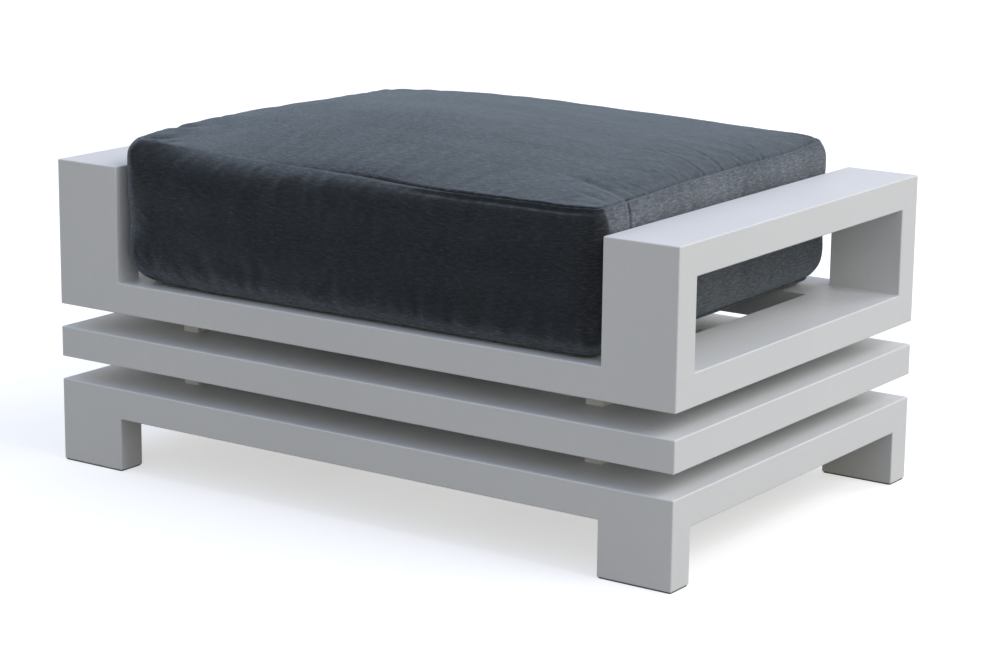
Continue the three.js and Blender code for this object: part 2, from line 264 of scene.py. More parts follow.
coat = powder_coat()
plastic = moulded_plastic()
cover_cloth = woven(
    "cover_melange_weave", (0.003, 0.0032, 0.0036), (0.272, 0.285, 0.308), 0.9 * MM,
    Roughness=0.9, Specular_IOR_Level=0.1, Sheen_Weight=0.4, Sheen_Roughness=0.45,
    Sheen_Tint=rgb(0.62, 0.81, 1.0),
)
zip_metal = brushed_metal()
tape_cloth = zip_nylon("zip_tape_cloth", (0.018, 0.02, 0.023), (0.04, 0.042, 0.047))
tooth_nylon = zip_nylon("zip_tooth_nylon", (0.03, 0.031, 0.034), (0.06, 0.061, 0.065))


# Mesh helpers

def mesh_object(name, points, faces, material, smooth=True):
    mesh = bpy.data.meshes.new(name)
    mesh.from_pydata([tuple(p) for p in points], [], faces)
    mesh.update()
    mesh.polygons.foreach_set("use_smooth", [smooth] * len(mesh.polygons))
    mesh.materials.append(material)
    made = bpy.data.objects.new(name, mesh)
    bpy.context.scene.collection.objects.link(made)
    return made


def coordinates(mesh):
    flat = np.empty(len(mesh.vertices) * 3, np.float32)
    mesh.vertices.foreach_get("co", flat)
    return flat.reshape(-1, 3).astype(float)


def set_coordinates(mesh, points):
    mesh.vertices.foreach_set("co", points.astype(np.float32).ravel())
    mesh.update()


def normals(mesh):
    flat = np.empty(len(mesh.vertices) * 3, np.float32)
    mesh.vertex_normals.foreach_get("vector", flat)
    return flat.reshape(-1, 3).astype(float)


def baked(thing):
    """The object's mesh with its modifiers applied."""
    graph = bpy.context.evaluated_depsgraph_get()
    mesh = bpy.data.meshes.new_from_object(thing.evaluated_get(graph))
    thing.modifiers.clear()
    old, thing.data = thing.data, mesh
    mesh.name = thing.name
    bpy.data.meshes.remove(old)
    return mesh


def round_edges(thing, width, segments=4):
    bevel = thing.modifiers.new("soft_edges", "BEVEL")
    bevel.width = width
    bevel.segments = segments
    bevel.limit_method = "ANGLE"
    bevel.angle_limit = math.radians(30)
    bevel.harden_normals = True


# Frame: each tier is one welded skin, ground flush, so its rails, posts and legs share faces

TUBE_CORNER = 1.6 * MM
WELD_GAP = 0.6 * MM


def snapped(values):
    """Plane positions with those closer than a weld gap taken as one, and where each value goes."""
    ordered = sorted(values)
    planes = [ordered[0]]
    for value in ordered[1:]:
        if value - planes[-1] > WELD_GAP:
            planes.append(value)
    return np.array(planes)


def welded_skin(name, node_names):
    """One closed skin round the boxes of the named tubes."""
    boxes = [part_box(n) for n in node_names]
    planes = [snapped([corner[axis] for box in boxes for corner in box]) for axis in range(3)]
    spans = [
        [[int(np.argmin(abs(planes[axis] - corner[axis]))) for axis in range(3)] for corner in box]
        for box in boxes
    ]
    size = [len(p) - 1 for p in planes]
    filled = np.zeros([s + 2 for s in size], bool)
    for low, high in spans:
        filled[tuple(slice(a + 1, b + 1) for a, b in zip(low, high))] = True
    points, faces = {}, []
    sides = [(axis, way) for axis in range(3) for way in (-1, 1)]
    for cell in np.argwhere(filled):
        for axis, way in sides:
            beside = cell.copy()
            beside[axis] += way
            if filled[tuple(beside)]:
                continue
            one, two = (axis + 1) % 3, (axis + 2) % 3
            corners = []
            for a, b in ((0, 0), (1, 0), (1, 1), (0, 1)):
                corner = [int(c) - 1 for c in cell]
                corner[axis] += 1 if way > 0 else 0
                corner[one] += a
                corner[two] += b
                corners.append(points.setdefault(tuple(corner), len(points)))
            faces.append(corners if way > 0 else corners[::-1])
    places = [[planes[axis][key[axis]] for axis in range(3)] for key in points]
    skin = mesh_object(name, places, faces, coat)
    round_edges(skin, TUBE_CORNER)
    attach(skin, "frame")
    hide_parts(*node_names)


SIDES = ("front", "back", "left", "right")
CORNERS = [f"{end}_{side}" for end in ("front", "back") for side in ("left", "right")]
welded_skin(
    "seat_frame",
    [f"seat_rail_{s}" for s in SIDES] + [f"seat_crossbar_{s}" for s in ("left", "middle", "right")]
    + ["arm_top_left", "arm_top_right"] + [f"arm_post_{c}" for c in CORNERS],
)
welded_skin("middle_frame", [f"middle_rail_{s}" for s in SIDES])
welded_skin("base_frame", [f"base_rail_{s}" for s in SIDES] + [f"leg_{c}" for c in CORNERS])


# Cushion, all but its zip

cover_low, cover_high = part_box("cushion_cover")
HALF_X = (cover_high.x - cover_low.x) / 2
HALF_Y = (cover_high.y - cover_low.y) / 2
CENTRE_Y = (cover_high.y + cover_low.y) / 2
BOTTOM_Z = cover_low.z
BORDER_HEIGHT = 180 * MM
FRONT_PLANE = cad_low.y
CELL = 5 * MM
SEAM_LINES = np.array([0, 0.4, 1.5, 4, 8, 13.5]) * MM
# Well clear of the cushion
FAR_OFF = 1.0
BELLY_SHARE = 0.4
TOP_SEAM_INSET = 12 * MM
TOP_LEAN = 4 * MM
ROLL_ARC = 0.96
LOW_SEAM_INSET = 10 * MM
LOW_ROUND_POWER = 6
LOW_FLAT_INSET = 26 * MM
# The outline's corners at the lower seam, at the belly and at the top seam
CORNER_RADII = (22 * MM, 29 * MM, 13 * MM)
HOLD_POWER = 10
CROWN_BASE = 427.5 * MM
CROWN = 50.5 * MM
SUMMIT = (-76 * MM, -40 * MM)
SEAM_PULL_POWER = 8
# How the top panel rises from each side: the share of a quick swell beside the seam, and that swell's width.
# Along the front the share depends on x
LEFT_SWELL, RIGHT_SWELL, BACK_SWELL = (0.27, 4.0 * MM), (0.35, 19.5 * MM), (0.46, 5.2 * MM)
FRONT_SWELL_WIDTH, FRONT_START = 10 * MM, 1.0
FRONT_SWELL = [
    (-345 * MM, 0.05), (-180 * MM, 0.06), (-60 * MM, 0.14), (40 * MM, 0.18), (140 * MM, 0.10),
]
GIRTH = 4 * (HALF_X + HALF_Y)
GIRTH_STEPS, SMOOTH_STEPS = 2048, 256

# Heights of the two seams round the cushion: (side, x or y of a place on it, height), in mm
TOP_SEAM = [
    ("front", -345, 436), ("front", -333, 434.5), ("front", -300, 431), ("front", -262, 428),
    ("front", -222, 426), ("front", -100, 425.5), ("front", -20, 425.5), ("front", 58, 423),
    ("front", 111, 422.5), ("front", 165, 423.5), ("front", 213, 424.5), ("front", 270, 424.5),
    ("front", 323, 424), ("front", 345, 427), ("right", -275, 428), ("right", -238, 428), ("right", -178, 430),
    ("right", -111, 432), ("right", -54, 432.5), ("right", 50, 433), ("right", 180, 433), ("right", 232, 436),
    ("back", 348, 441), ("back", 325, 437.5), ("back", 270, 436), ("back", 200, 434), ("back", 130, 431.5),
    ("back", -110, 429), ("back", -330, 437), ("left", 230, 436), ("left", 60, 431), ("left", -110, 433),
    ("left", -180, 438), ("left", -240, 440), ("left", -265, 438),
]
LOW_SEAM = [
    ("front", -345, 263), ("front", -331, 260), ("front", -300, 256), ("front", -240, 254),
    ("front", -100, 253.5), ("front", 340, 254), ("right", -262, 258), ("right", -200, 261), ("right", 0, 261),
    ("right", 215, 260), ("right", 262, 262), ("back", 340, 260), ("back", 200, 254), ("back", -300, 254),
    ("left", 240, 256), ("left", 0, 254), ("left", -220, 257), ("left", -260, 264),
]
# How far the top seam lies in from the border's belly, and how high the soft roll below it is
TOP_INSET = [
    ("front", -350, 14), ("front", -300, 26), ("front", -225, 29), ("front", -130, 26), ("front", -40, 20),
    ("front", 60, 17), ("front", 150, 9), ("front", 345, 7), ("right", -240, 8), ("right", 240, 8),
    ("back", 340, 8), ("back", 250, 14), ("back", -250, 14), ("back", -340, 8), ("left", 240, 8),
    ("left", 0, 9), ("left", -250, 6),
]
ROLL_HEIGHT = [
    ("front", -350, 22), ("front", -300, 32), ("front", -225, 36), ("front", -130, 34), ("front", -40, 27),
    ("front", 60, 24), ("front", 150, 14), ("front", 345, 12), ("right", -240, 20), ("right", 240, 24),
    ("back", 200, 26), ("back", -200, 26), ("left", 240, 20), ("left", -250, 12),
]
# How far the lower seam lies in, and how far the whole border does
LOW_INSET = [
    ("front", -350, 11), ("front", -260, 16), ("front", 330, 16), ("right", -230, 16), ("right", 240, 16),
    ("back", 340, 12), ("back", -340, 10), ("left", 0, 10),
]
PLAN_INSET = [
    ("front", -350, 1), ("front", -250, 0), ("front", 340, 0), ("right", -200, 0), ("right", 0, 2),
    ("right", 262, 6), ("back", 340, 5), ("back", 150, 0), ("back", -340, 0), ("left", -200, 1),
    ("left", -262, 2),
]
# The lip of the top panel stands out over the border along the front right part of the seam
OVERHANG = [
    ("front", -345, 0), ("front", 70, 0.2), ("front", 130, 2.2), ("front", 300, 3.2), ("front", 340, 2.2),
    ("right", -262, 0.3), ("right", 240, 0.3), ("back", 330, 0.3), ("back", -330, 0.3), ("left", 240, 0.3),
]
# How deep the top seam is drawn in
SEAM_DEPTH = [
    ("front", -345, 0.1), ("front", -120, 0.15), ("front", -20, 0.4), ("front", 60, 0.8), ("front", 140, 1.6),
    ("front", 345, 1.8), ("right", -200, 1.3), ("right", 200, 1.3), ("back", 330, 1.5), ("back", -330, 1.5),
    ("left", 200, 1.5), ("left", -200, 1.2),
]


def girth_place(side, along):
    """How far round the cushion a place lies, from the front left corner, anticlockwise from above."""
    if side == "front":
        return HALF_X + along
    if side == "right":
        return 2 * HALF_X + HALF_Y + along - CENTRE_Y
    if side == "back":
        return 3 * HALF_X + 2 * HALF_Y - along
    return 4 * HALF_X + 3 * HALF_Y - along + CENTRE_Y


def round_the_girth(stations, softness=12 * MM):
    """A smooth closed curve through the stations, as a function of the place round the cushion."""
    at = np.array([girth_place(side, along * MM) for side, along, _ in stations])
    value = np.array([amount * MM for _, _, amount in stations])
    order = np.argsort(at)
    steps = np.linspace(0, GIRTH, GIRTH_STEPS, endpoint=False)
    table = np.interp(steps, at[order], value[order], period=GIRTH)
    reach = np.arange(-SMOOTH_STEPS, SMOOTH_STEPS + 1) * (GIRTH / GIRTH_STEPS)
    weight = np.exp(-0.5 * (reach / softness) ** 2)
    wrapped = np.concatenate([table[-SMOOTH_STEPS:], table, table[:SMOOTH_STEPS]])
    table = np.convolve(wrapped, weight / weight.sum(), "valid")
    return lambda place: np.interp(place, steps, table, period=GIRTH)


top_seam_at = round_the_girth(TOP_SEAM)
low_seam_at = round_the_girth(LOW_SEAM)
top_inset_at = round_the_girth(TOP_INSET)
roll_height_at = round_the_girth(ROLL_HEIGHT)
low_inset_at = round_the_girth(LOW_INSET, 25 * MM)
plan_inset_at = round_the_girth(PLAN_INSET, 20 * MM)
seam_depth_at = round_the_girth(SEAM_DEPTH, 20 * MM)
overhang_at = round_the_girth(OVERHANG)


def lines(half):
    """Grid lines from -1 to 1, close together beside the seams."""
    inner = half - SEAM_LINES[-1]
    middle = np.linspace(-inner, inner, round(2 * inner / CELL) + 1)
    edge = half - SEAM_LINES[:-1]
    return np.concatenate([-edge, middle, edge[::-1]]) / half


def outward(s, t):
    """How far out a point of the square lies, and the point of the square's edge that it looks out at."""
    reach = np.maximum(np.maximum(abs(s), abs(t)), 1e-9)
    middle = reach < 1e-6
    return reach, np.where(middle, 1.0, s / reach), np.where(middle, 0.0, t / reach)


def plan(s, t, radius, inset):
    """A point of the square's edge on the cushion's outline, a rectangle with round corners."""
    x, y = abs(s) * (HALF_X - inset), abs(t) * (HALF_Y - inset)
    past_x, past_y = x - (HALF_X - inset - radius), y - (HALF_Y - inset - radius)
    corner = (past_x > 0) & (past_y > 0)
    turn = np.clip(past_y - past_x + radius, 0, 2 * radius) / (2 * radius) * math.pi / 2
    x = np.where(corner, HALF_X - inset - radius + radius * np.cos(turn), x)
    y = np.where(corner, HALF_Y - inset - radius + radius * np.sin(turn), y)
    return np.sign(s) * x, np.sign(t) * y


def girth_of(s, t):
    """The place round the cushion that a point of the square looks out at."""
    _, s, t = outward(s, t)
    front = t <= -abs(s)
    right = (s >= abs(t)) & ~front
    back = (t >= abs(s)) & ~right & ~front
    x, y = s * HALF_X, t * HALF_Y + CENTRE_Y
    place = girth_place("left", y)
    place = np.where(back, girth_place("back", x), place)
    place = np.where(right, girth_place("right", y), place)
    return np.where(front, girth_place("front", x), place)


def climb(distance, reach, swell, width, start=2.0):
    """The rise from 0 at a seam to 1 at the summit: a quick swell beside the seam, and a smooth slope for the
    rest, which leaves the seam with a steepness of start."""
    quick = (1 - np.exp(-distance / width)) / (1 - np.exp(-reach / width))
    u = distance / reach
    return swell * quick + (1 - swell) * u * (start + u * (3 - 2 * start + u * (start - 2)))


def crown(s, t):
    """The top panel's height over its seams, as a share of the full crown."""
    half_x, half_y = HALF_X - TOP_SEAM_INSET, HALF_Y - TOP_SEAM_INSET
    x, y = s * half_x, t * half_y
    peak_x, peak_y = SUMMIT
    from_side = np.where(
        x < peak_x,
        climb(half_x + np.minimum(x, peak_x), half_x + peak_x, *LEFT_SWELL),
        climb(half_x - np.maximum(x, peak_x), half_x - peak_x, *RIGHT_SWELL),
    )
    front_swell = np.interp(x, *zip(*FRONT_SWELL))
    from_end = np.where(
        y < peak_y,
        climb(half_y + np.minimum(y, peak_y), half_y + peak_y, front_swell, FRONT_SWELL_WIDTH, FRONT_START),
        climb(half_y - np.maximum(y, peak_y), half_y - peak_y, *BACK_SWELL),
    )
    return from_side * from_end


def border_point(s, t, share):
    """A point of the border, from its lower seam at share 0 to its upper seam at share 1."""
    place = girth_of(s, t)
    low, high = low_seam_at(place), top_seam_at(place)
    below = np.maximum(0, 1 - share / BELLY_SHARE)
    up = np.clip(1 - (1 - share) * (high - low) / roll_height_at(place), 0, 1)
    turned = (1 - np.sqrt(1 - (ROLL_ARC * up) ** 2)) / (1 - math.sqrt(1 - ROLL_ARC ** 2))
    lean = TOP_LEAN * np.maximum(0, (share - BELLY_SHARE) / (1 - BELLY_SHARE)) ** 2
    pulled = plan_inset_at(place) + lean + top_inset_at(place) * turned
    pulled = pulled + low_inset_at(place) * below ** LOW_ROUND_POWER
    x, y = plan(s, t, np.interp(share, (0, BELLY_SHARE, 1), CORNER_RADII), pulled)
    return x, y, low + share * (high - low)


def top_seam_reach(half, place):
    """How far the top seam lies from the cushion's middle line, at a place round the cushion."""
    return half - plan_inset_at(place) - TOP_LEAN - top_inset_at(place)


def top_point(s, t):
    """A point of the top panel."""
    reach, edge_s, edge_t = outward(s, t)
    edge_x, edge_y, edge_z = border_point(edge_s, edge_t, np.ones_like(s))
    x, y = s * HALF_X, t * HALF_Y + CENTRE_Y
    inner_x = s * top_seam_reach(HALF_X, np.where(s < 0, girth_place("left", y), girth_place("right", y)))
    inner_y = t * top_seam_reach(HALF_Y, np.where(t < 0, girth_place("front", x), girth_place("back", x)))
    hold = reach ** HOLD_POWER
    x = inner_x * (1 - hold) + edge_x * reach * hold
    y = inner_y * (1 - hold) + edge_y * reach * hold
    z = CROWN_BASE + (edge_z - CROWN_BASE) * reach ** SEAM_PULL_POWER + CROWN * crown(s, t)
    return x, y, z


def low_point(s, t):
    """A point of the bottom panel, flat where it rests on the rails."""
    reach, edge_s, edge_t = outward(s, t)
    edge_x, edge_y, edge_z = border_point(edge_s, edge_t, np.zeros_like(s))
    inner_x, inner_y = s * (HALF_X - LOW_SEAM_INSET), t * (HALF_Y - LOW_SEAM_INSET)
    hold = reach ** HOLD_POWER
    x = inner_x * (1 - hold) + edge_x * reach * hold
    y = inner_y * (1 - hold) + edge_y * reach * hold
    inside = np.minimum((1 - abs(s)) * HALF_X, (1 - abs(t)) * HALF_Y)
    lift = np.maximum(0, 1 - inside / LOW_FLAT_INSET) ** 2
    return x, y, BOTTOM_Z + (edge_z - BOTTOM_Z) * lift


def cushion_mesh():
    """Top panel, border and bottom panel, which share the loops of points at the two seams."""
    s_lines, t_lines = lines(HALF_X), lines(HALF_Y)
    share_lines = (lines(BORDER_HEIGHT / 2) + 1) / 2
    n, m = len(s_lines), len(t_lines)
    s, t = np.meshgrid(s_lines, t_lines, indexing="ij")
    top = np.stack(top_point(s, t), -1).reshape(-1, 3)
    low = np.stack(low_point(s, t), -1).reshape(-1, 3)
    loop = (
        [(i, 0) for i in range(n - 1)] + [(n - 1, j) for j in range(m - 1)]
        + [(i, m - 1) for i in range(n - 1, 0, -1)] + [(0, j) for j in range(m - 1, 0, -1)]
    )
    loop_s = np.array([s_lines[i] for i, j in loop])
    loop_t = np.array([t_lines[j] for i, j in loop])
    loop_index = np.array([i * m + j for i, j in loop])
    rows = [
        np.stack(border_point(loop_s, loop_t, np.full(len(loop), share)), -1) for share in share_lines[1:-1]
    ]
    points = np.concatenate([top, low, *rows])
    points[:, 1] += CENTRE_Y
    row_index = [loop_index + n * m]
    row_index += [2 * n * m + k * len(loop) + np.arange(len(loop)) for k in range(len(rows))]
    row_index.append(loop_index)
    faces, panel = [], []
    for i in range(n - 1):
        for j in range(m - 1):
            a, b, c, d = i * m + j, (i + 1) * m + j, (i + 1) * m + j + 1, i * m + j + 1
            faces += [(a, b, c, d), (d + n * m, c + n * m, b + n * m, a + n * m)]
            panel += [0, 2]
    for k in range(len(row_index) - 1):
        here, above = row_index[k], row_index[k + 1]
        for i in range(len(loop)):
            after = (i + 1) % len(loop)
            faces.append((int(here[i]), int(here[after]), int(above[after]), int(above[i])))
            panel.append(1)
    _, edge_s, edge_t = outward(s.ravel(), t.ravel())
    seam = np.stack(border_point(edge_s, edge_t, np.ones(n * m)), -1) + (0, CENTRE_Y, 0)
    hem = np.stack(border_point(edge_s, edge_t, np.zeros(n * m)), -1) + (0, CENTRE_Y, 0)
    to_top, to_low = np.full(len(points), FAR_OFF), np.full(len(points), FAR_OFF)
    to_top[: n * m] = np.linalg.norm(points[: n * m] - seam, axis=1)
    to_low[n * m : 2 * n * m] = np.linalg.norm(points[n * m : 2 * n * m] - hem, axis=1)
    for k in range(len(rows)):
        index = row_index[k + 1]
        to_top[index] = np.linalg.norm(points[index] - points[loop_index], axis=1)
        to_low[index] = np.linalg.norm(points[index] - points[loop_index + n * m], axis=1)
    # 1 on the top panel, -1 on the bottom panel, 0 on the border, and halfway between at the seams
    kind = np.zeros(len(points))
    kind[: n * m] = 1
    kind[n * m : 2 * n * m] = -1
    kind[loop_index] = 0.5
    kind[loop_index + n * m] = -0.5
    thing = mesh_object("cushion", points, faces, cover_cloth)
    for name, values in (("to_top_seam", to_top), ("to_low_seam", to_low), ("kind", kind)):
        kept = thing.data.attributes.new(name, "FLOAT", "POINT")
        kept.data.foreach_set("value", values.astype(np.float32))
    kept = thing.data.attributes.new("panel", "INT", "FACE")
    kept.data.foreach_set("value", np.array(panel, np.int32))
    return thing


def read(mesh, name):
    found = mesh.attributes[name]
    values = np.empty(len(found.data), np.int32 if found.data_type == "INT" else np.float32)
    found.data.foreach_get("value", values)
    return values


SIM_FRAMES = 16
SIM_CAP = 9 * MM
SIM_SHARE = 0.3
BROAD_ROUNDS = 120
SEAM_HOLD = 0.9
CLOTH = {
    "quality": 6, "mass": 0.25, "tension_stiffness": 25, "compression_stiffness": 25, "shear_stiffness": 12,
    "bending_stiffness": 0.35, "shrink_min": -0.012, "use_pressure": True, "uniform_pressure_force": 4.0,
}


def simulate(thing):
    """How far each point of the cover moves when it swells over its filling. The fabric is a little wider than
    the form, and is held at the seams."""
    copy = thing.copy()
    copy.data = thing.data.copy()
    copy.name = "cushion_trial"
    bpy.context.scene.collection.objects.link(copy)
    mesh = copy.data
    start = coordinates(mesh)
    held = copy.vertex_groups.new(name="held")
    near = np.minimum(read(mesh, "to_top_seam"), read(mesh, "to_low_seam"))
    kind = read(mesh, "kind")
    weight = np.where(near < 0.1 * MM, SEAM_HOLD, 0.0)
    weight[kind <= -0.4] = 1.0
    for index in np.flatnonzero(weight):
        held.add([int(index)], float(weight[index]), "REPLACE")
    cloth = copy.modifiers.new("swell", "CLOTH")
    for setting, value in CLOTH.items():
        setattr(cloth.settings, setting, value)
    cloth.settings.vertex_group_mass = held.name
    cloth.settings.effector_weights.gravity = 0
    cloth.collision_settings.use_collision = False
    scene = bpy.context.scene
    scene.frame_start, scene.frame_end = 1, SIM_FRAMES
    cloth.point_cache.frame_start, cloth.point_cache.frame_end = 1, SIM_FRAMES
    for step in range(1, SIM_FRAMES + 1):
        scene.frame_set(step)
    graph = bpy.context.evaluated_depsgraph_get()
    moved = coordinates(copy.evaluated_get(graph).data) - start
    bpy.data.objects.remove(copy)
    bpy.data.meshes.remove(mesh)
    scene.frame_set(1)
    length = np.linalg.norm(moved, axis=1, keepdims=True)
    return moved * np.minimum(1, SIM_CAP / np.maximum(length, 1e-9))


def smoothed(mesh, values, rounds):
    """Values on the points, evened out over their neighbours."""
    edges = np.empty(len(mesh.edges) * 2, np.int32)
    mesh.edges.foreach_get("vertices", edges)
    one, two = edges.reshape(-1, 2).T
    count = np.bincount(edges, minlength=len(values))[:, None]
    for _ in range(rounds):
        total = np.zeros_like(values)
        for axis in range(values.shape[1]):
            total[:, axis] = (
                np.bincount(one, values[two, axis], len(values))
                + np.bincount(two, values[one, axis], len(values))
            )
        values = 0.5 * values + 0.5 * total / count
    return values


def fuzz(points, scale, seed):
    """Smooth noise from -1 to 1 at each point."""
    shift = Vector((seed * 3.17, seed * 1.73, seed * 7.91))
    return np.array([noise.noise(Vector(p) * scale + shift) for p in points.tolist()])


def fade(values, low, high):
    share = np.clip((values - low) / (high - low), 0, 1)
    return share * share * (3 - 2 * share)


# A fold's groove has a soft ridge on both sides. These are in widths of the groove, but for the ridge's height
FOLD_REACH = 6
RIDGE_PLACE, RIDGE_HEIGHT = 2.1, 0.2
FOLD_FADE_SHARE = 0.55


def creased(points, creases):
    """Folds on flat panel coordinates. A crease is (start, end, depth, width, bend): faint at its start, deep
    at its end, and bowed by bend."""
    total = np.zeros(len(points))
    for start, end, depth, width, bend in creases:
        start, end = np.array(start), np.array(end)
        run = end - start
        length = np.linalg.norm(run)
        run = run / length
        offset = points - start
        along = offset @ run
        across = offset @ np.array([-run[1], run[0]])
        share = np.clip(along / length, 0, 1)
        across = across - bend * 4 * share * (1 - share)
        past = np.maximum(0, np.maximum(-along, along - length))
        distance = np.hypot(across, past)
        near = distance < FOLD_REACH * width
        d, s = distance[near] / width, share[near]
        shape = -np.exp(-d * d) + RIDGE_HEIGHT * np.exp(-((d - RIDGE_PLACE) ** 2))
        total[near] += depth * shape * fade(s, 0.0, FOLD_FADE_SHARE)
    return total


# Folds that the photograph shows on the top panel: start and end (x, distance behind the front plane), depth,
# width and bow, in mm
TOP_FOLDS = [
    ((250, 310), (350, 288), 1.3, 3.2, 3), ((266, 253), (350, 244), 1.2, 3.0, 2),
    ((262, 430), (350, 390), 1.0, 3.2, 5), ((316, 346), (350, 343), 0.7, 2.6, 1),
    ((318, 456), (350, 437), 0.7, 2.8, 1), ((240, 97), (352, 71), 1.7, 4.6, 4),
    ((284, 56), (346, 43), 1.3, 3.8, 2), ((308, 108), (346, 92), 0.7, 2.8, 1),
    ((312, 112), (350, 120), 0.7, 2.8, 1), ((300, 190), (350, 186), 0.5, 3.0, 1),
    ((280, 30), (348, 26), 0.8, 3.0, -2), ((301, 520), (350, 540), 1.0, 4.0, 2),
    ((-306, 62), (-336, 30), 2.6, 7.0, 2), ((-312, 112), (-346, 94), 2.4, 7.0, 2),
    ((-320, 176), (-347, 164), 2.0, 7.0, 1), ((-290, 48), (-306, 20), 1.6, 6.0, -2),
]
SEED = 41
GATHER_DEPTH, GATHER_WIDTH = 0.3 * MM, 5 * MM
TOP_GATHER_REACH, BORDER_GATHER_REACH = 40 * MM, 36 * MM
FIRST_GATHER, GATHER_SPACING, GATHER_BOW = (8 * MM, 20 * MM), (17 * MM, 42 * MM), (-3 * MM, 3 * MM)


def panel_folds(random, spans, reach, depth, width):
    """Small gathers along a seam: spans are (seam start, seam end, direction inwards), in metres."""
    found = []
    for start, end, inward in spans:
        start, end, inward = np.array(start), np.array(end), np.array(inward)
        length = np.linalg.norm(end - start)
        place = random.uniform(*FIRST_GATHER)
        while place < length:
            share = place / length
            corner = abs(share - 0.5) * 2
            strength = 0.45 + 0.75 * corner ** 3
            foot = start + (end - start) * share
            lean = (0.5 - share) * random.uniform(0.2, 1.2) + random.uniform(-0.25, 0.25)
            tip = foot + reach * random.uniform(0.35, 1.0) * (inward + lean * (end - start) / length)
            found.append(
                (tip, foot, depth * strength * random.uniform(0.5, 1.0), width * random.uniform(0.8, 1.3),
                 random.uniform(*GATHER_BOW))
            )
            place += random.uniform(*GATHER_SPACING)
    return found


BORDER_JOIN_SETBACK = 62 * MM
BORDER_JOINS = [girth_place(side, FRONT_PLANE + BORDER_JOIN_SETBACK) for side in ("left", "right")]

tape_low, tape_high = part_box("zip_tape")
ZIP_Z = (tape_low.z + tape_high.z) / 2

PANEL_EDGE = (0.4, 0.9)
# The top seam's depth varies round the cushion, and the other seams are the same all along
LOW_SEAM_DEPTH, JOIN_DEPTH = 1.8 * MM, 1.5 * MM
GROOVE_WIDTH, JOIN_WIDTH = 1.6 * MM, 1.5 * MM
# The swell beside a seam: its height as a share of the groove's depth, its distance from the seam and its width
SEAM_SWELL, SEAM_SWELL_PLACE, SEAM_SWELL_WIDTH = 0.35, 5 * MM, 3 * MM
JOIN_SWELL, JOIN_SWELL_PLACE = 0.4 * MM, 4.5 * MM
STITCH_SCALE, STITCH_REACH = 110.0, 9 * MM
# The lip over the border and the hollow below it: height, distance below the seam, and width
LIP, LIP_HOLLOW = (0.45, 2.4 * MM, 1.6 * MM), (-1.0, 7.5 * MM, 3.8 * MM)
# Soft lumps of the filling: height, how many in a metre, and seed
LUMPS = ((0.9 * MM, 9.0, 2), (0.45 * MM, 26.0, 3))
GATHER_ROW_LIFT = 9 * MM
OPENING_EDGE, OPENING_DEPTH = (4.9 * MM, 6.4 * MM), 1.8 * MM
OPENING_MARGIN, OPENING_END = 3 * MM, 4 * MM
TURNED_EDGE, TURNED_HEIGHT, TURNED_WIDTH = 8 * MM, 0.8 * MM, 2 * MM


def hump(distance, place, width):
    """A smooth hump of height 1 at a distance."""
    return np.exp(-((distance - place) / width) ** 2)


